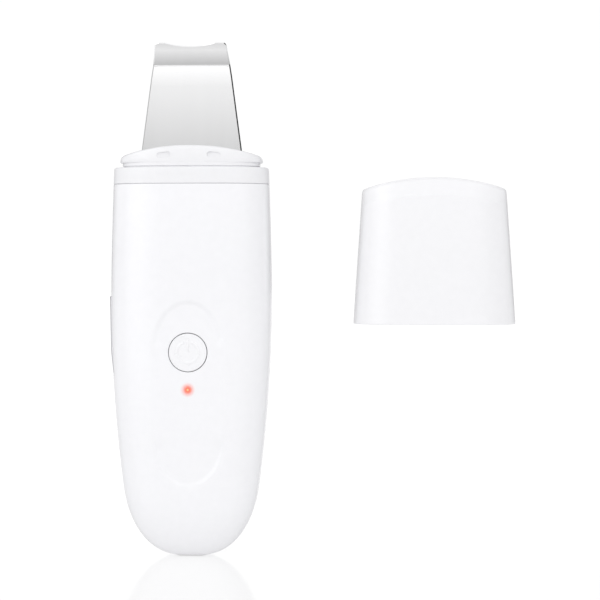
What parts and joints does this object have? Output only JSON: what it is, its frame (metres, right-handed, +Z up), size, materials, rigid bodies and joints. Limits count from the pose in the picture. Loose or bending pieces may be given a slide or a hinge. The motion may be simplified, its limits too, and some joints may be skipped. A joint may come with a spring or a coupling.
{
  "type": "skin scrubber",
  "caption": "Handheld ultrasonic skin scrubber: rounded handle with a push button and status light, a bent steel spatula blade on a crowned neck, and a pull-off blade cap set aside.",
  "frame": {"origin": "on the handle's axis at mid-grip, at the height of the power button", "axes": "+Z up the handle towards the blade, -Y out of the button face, +X towards the cap"},
  "size_m": [0.1303, 0.0216, 0.1648],
  "materials": {
    "shell_white": "glossy injection-moulded white",
    "collar_white": "glossy white, slightly greyer",
    "cap_white": "glossy white",
    "button_white": "satin gloss white",
    "ring_grey": "dark grey",
    "blade_steel": "polished stainless steel",
    "screw_steel": "zinc plated",
    "contact_metal": "satin plated metal",
    "leaf_brass": "spring brass",
    "copper": "enamelled copper wire",
    "silicone": "soft translucent grey",
    "foam": "black foam tape",
    "wire_red": "insulated wire",
    "piezo_ceramic": "matt ceramic with silvered faces",
    "ferrite": "dark ferrite",
    "capacitor_tan": "ceramic",
    "carrier_grey": "moulded dark grey",
    "board_green": "solder mask",
    "switch_black": "black moulded",
    "led_resin": "clear resin on white",
    "lens_red": "lit red light pipe",
    "battery_foil": "silver pouch foil",
    "connector_ivory": "ivory moulded"
  },
  "bodies": {
    "handle_body": {"front_shell": "shell_white", "back_shell": "shell_white", "neck_collar": "collar_white", "neck_dome": "shell_white", "collar_screws": "screw_steel", "blade": "blade_steel", "blade_gasket": "silicone", "piezo_disc": "piezo_ceramic", "blade_carrier": "carrier_grey", "blade_clamp": "carrier_grey", "blade_pads": "silicone", "clamp_screws": "screw_steel", "piezo_leads": "wire_red", "main_board": "board_green", "board_screws": "screw_steel", "tact_switch": "switch_black", "button_ring": "ring_grey", "status_led": "led_resin", "led_lens": "lens_red", "side_contact": "contact_metal", "contact_leaf": "leaf_brass", "battery": "battery_foil", "battery_pad": "foam", "battery_leads": "wire_red", "battery_plug": "connector_ivory", "usb_socket": "screw_steel", "usb_tongue": "switch_black", "transformer_core": "ferrite", "transformer_winding": "copper", "power_inductor": "ferrite", "capacitors": "capacitor_tan", "control_chips": "switch_black"},
    "button_body": {"power_button": "button_white", "switch_plunger": "switch_black"},
    "cap_body": {"cap": "cap_white"}
  },
  "joints": [
    {"name": "button_press", "type": "slide", "parent": "handle_body", "child": "button_body", "axis": [0, 1, 0], "range_m": [0, 0.0004], "stiffness_N_per_m": 4000},
    {"name": "cap_slide", "type": "slide", "parent": "handle_body", "child": "cap_body", "axis": [0, 0, 1], "range_m": [0, 0.05]}
  ]
}
